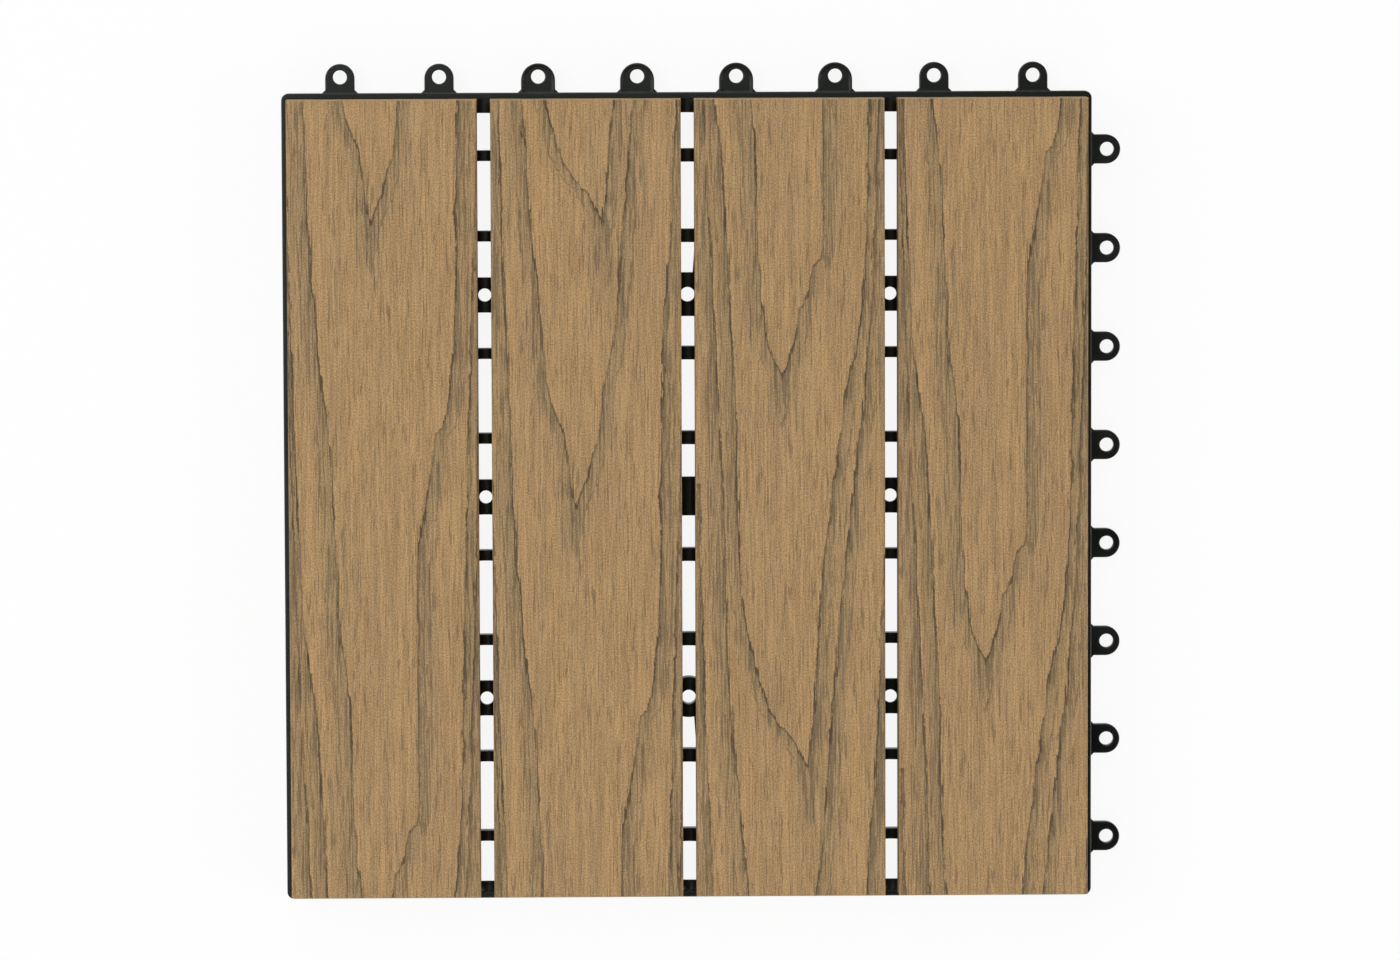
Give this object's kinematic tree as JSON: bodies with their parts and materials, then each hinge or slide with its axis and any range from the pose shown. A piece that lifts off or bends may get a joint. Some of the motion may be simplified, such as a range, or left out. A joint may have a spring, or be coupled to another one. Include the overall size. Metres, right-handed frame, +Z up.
{
  "type": "interlocking deck tile",
  "caption": "Square deck tile of wood-plastic boards on a moulded grid, with loops on two sides that lock onto pegs under the next tile.",
  "frame": {"origin": "middle of the tile on the floor plane", "axes": "+Z up out of the walking face, +Y along the boards, +X and +Y towards the two sides with loops"},
  "size_m": [0.3102, 0.3102, 0.022],
  "materials": {
    "wpc_slat": "brushed wood-plastic composite, matt",
    "base_plastic": "moulded black polypropylene, fine satin",
    "screw_steel": "zinc-plated"
  },
  "bodies": {
    "root": {"base_grid": "base_plastic", "slat_1": "wpc_slat", "slat_2": "wpc_slat", "slat_3": "wpc_slat", "slat_4": "wpc_slat"}
  },
  "joints": []
}
